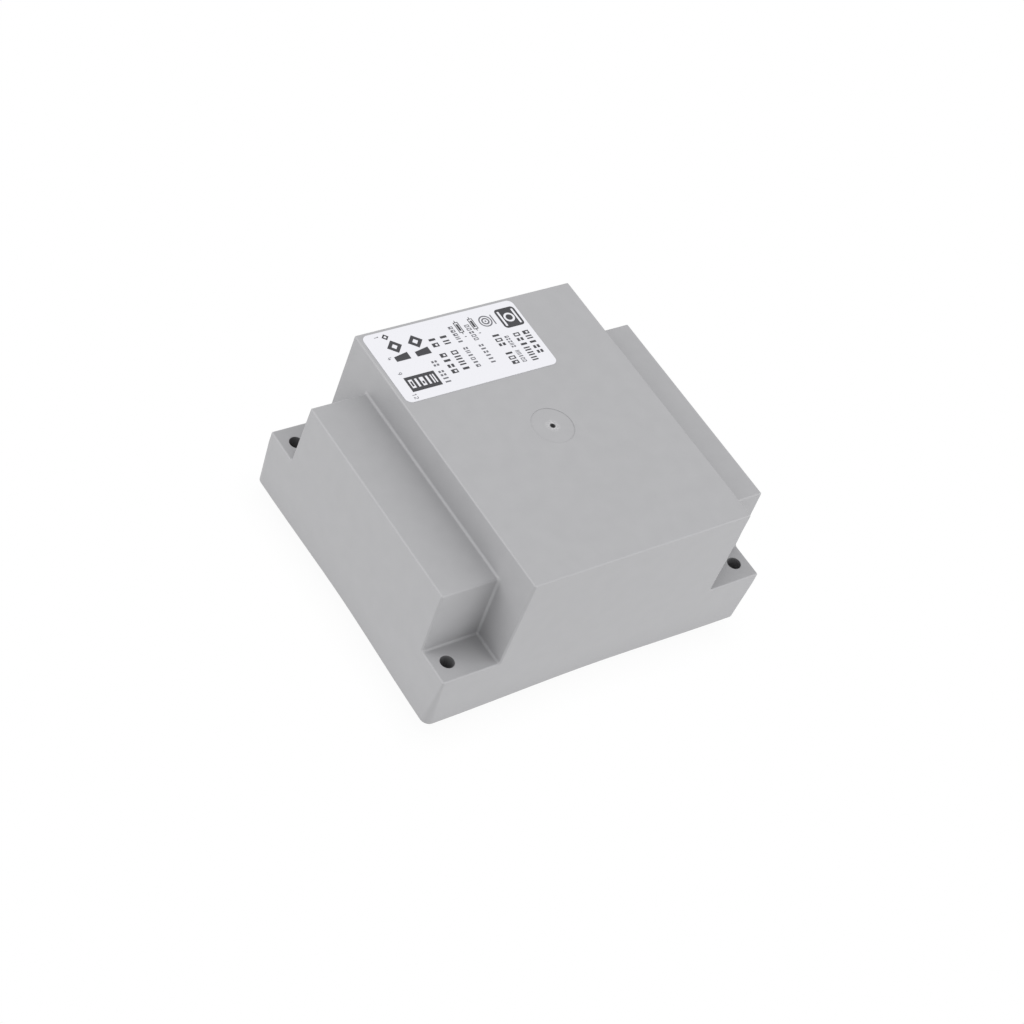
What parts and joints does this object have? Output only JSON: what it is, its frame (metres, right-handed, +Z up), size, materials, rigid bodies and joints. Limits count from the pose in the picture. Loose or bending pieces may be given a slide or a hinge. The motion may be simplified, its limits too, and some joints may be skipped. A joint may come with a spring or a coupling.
{
  "type": "encapsulated transformer",
  "caption": "Flat resin-cast mains transformer in a stepped grey housing with screw lugs at its corners and solder pins beneath.",
  "frame": {"origin": "middle of the plane on which the housing's rim sits on the circuit board", "axes": "+X along the housing, away from the primary pins; +Y across it, towards the side with the label; +Z up, away from the board"},
  "size_m": [0.087, 0.0732, 0.045],
  "materials": {
    "housing_plastic": "fine moulded matt",
    "label_film": "printed white film",
    "casting_resin": "smooth cast",
    "core_steel": "annealed sheet",
    "bobbin_plastic": "moulded",
    "copper_wire": "enamelled copper",
    "insulating_tape": "polyester film",
    "tinned_pin": "tinned"
  },
  "bodies": {
    "root": {"housing": "housing_plastic", "rating_label": "label_film", "potting_resin": "casting_resin", "u_laminations_left": "core_steel", "u_laminations_right": "core_steel", "i_laminations_left": "core_steel", "i_laminations_right": "core_steel", "bobbin_back": "bobbin_plastic", "bobbin_front": "bobbin_plastic", "primary_winding_back": "copper_wire", "primary_winding_front": "copper_wire", "secondary_winding_back": "copper_wire", "secondary_winding_front": "copper_wire", "primary_tape_back": "insulating_tape", "primary_tape_front": "insulating_tape", "secondary_tape_back": "insulating_tape", "secondary_tape_front": "insulating_tape", "pin_1": "tinned_pin", "pin_4": "tinned_pin", "pin_5": "tinned_pin", "pin_8": "tinned_pin", "pin_9": "tinned_pin", "pin_12": "tinned_pin", "pin_13": "tinned_pin", "pin_16": "tinned_pin"}
  },
  "joints": []
}
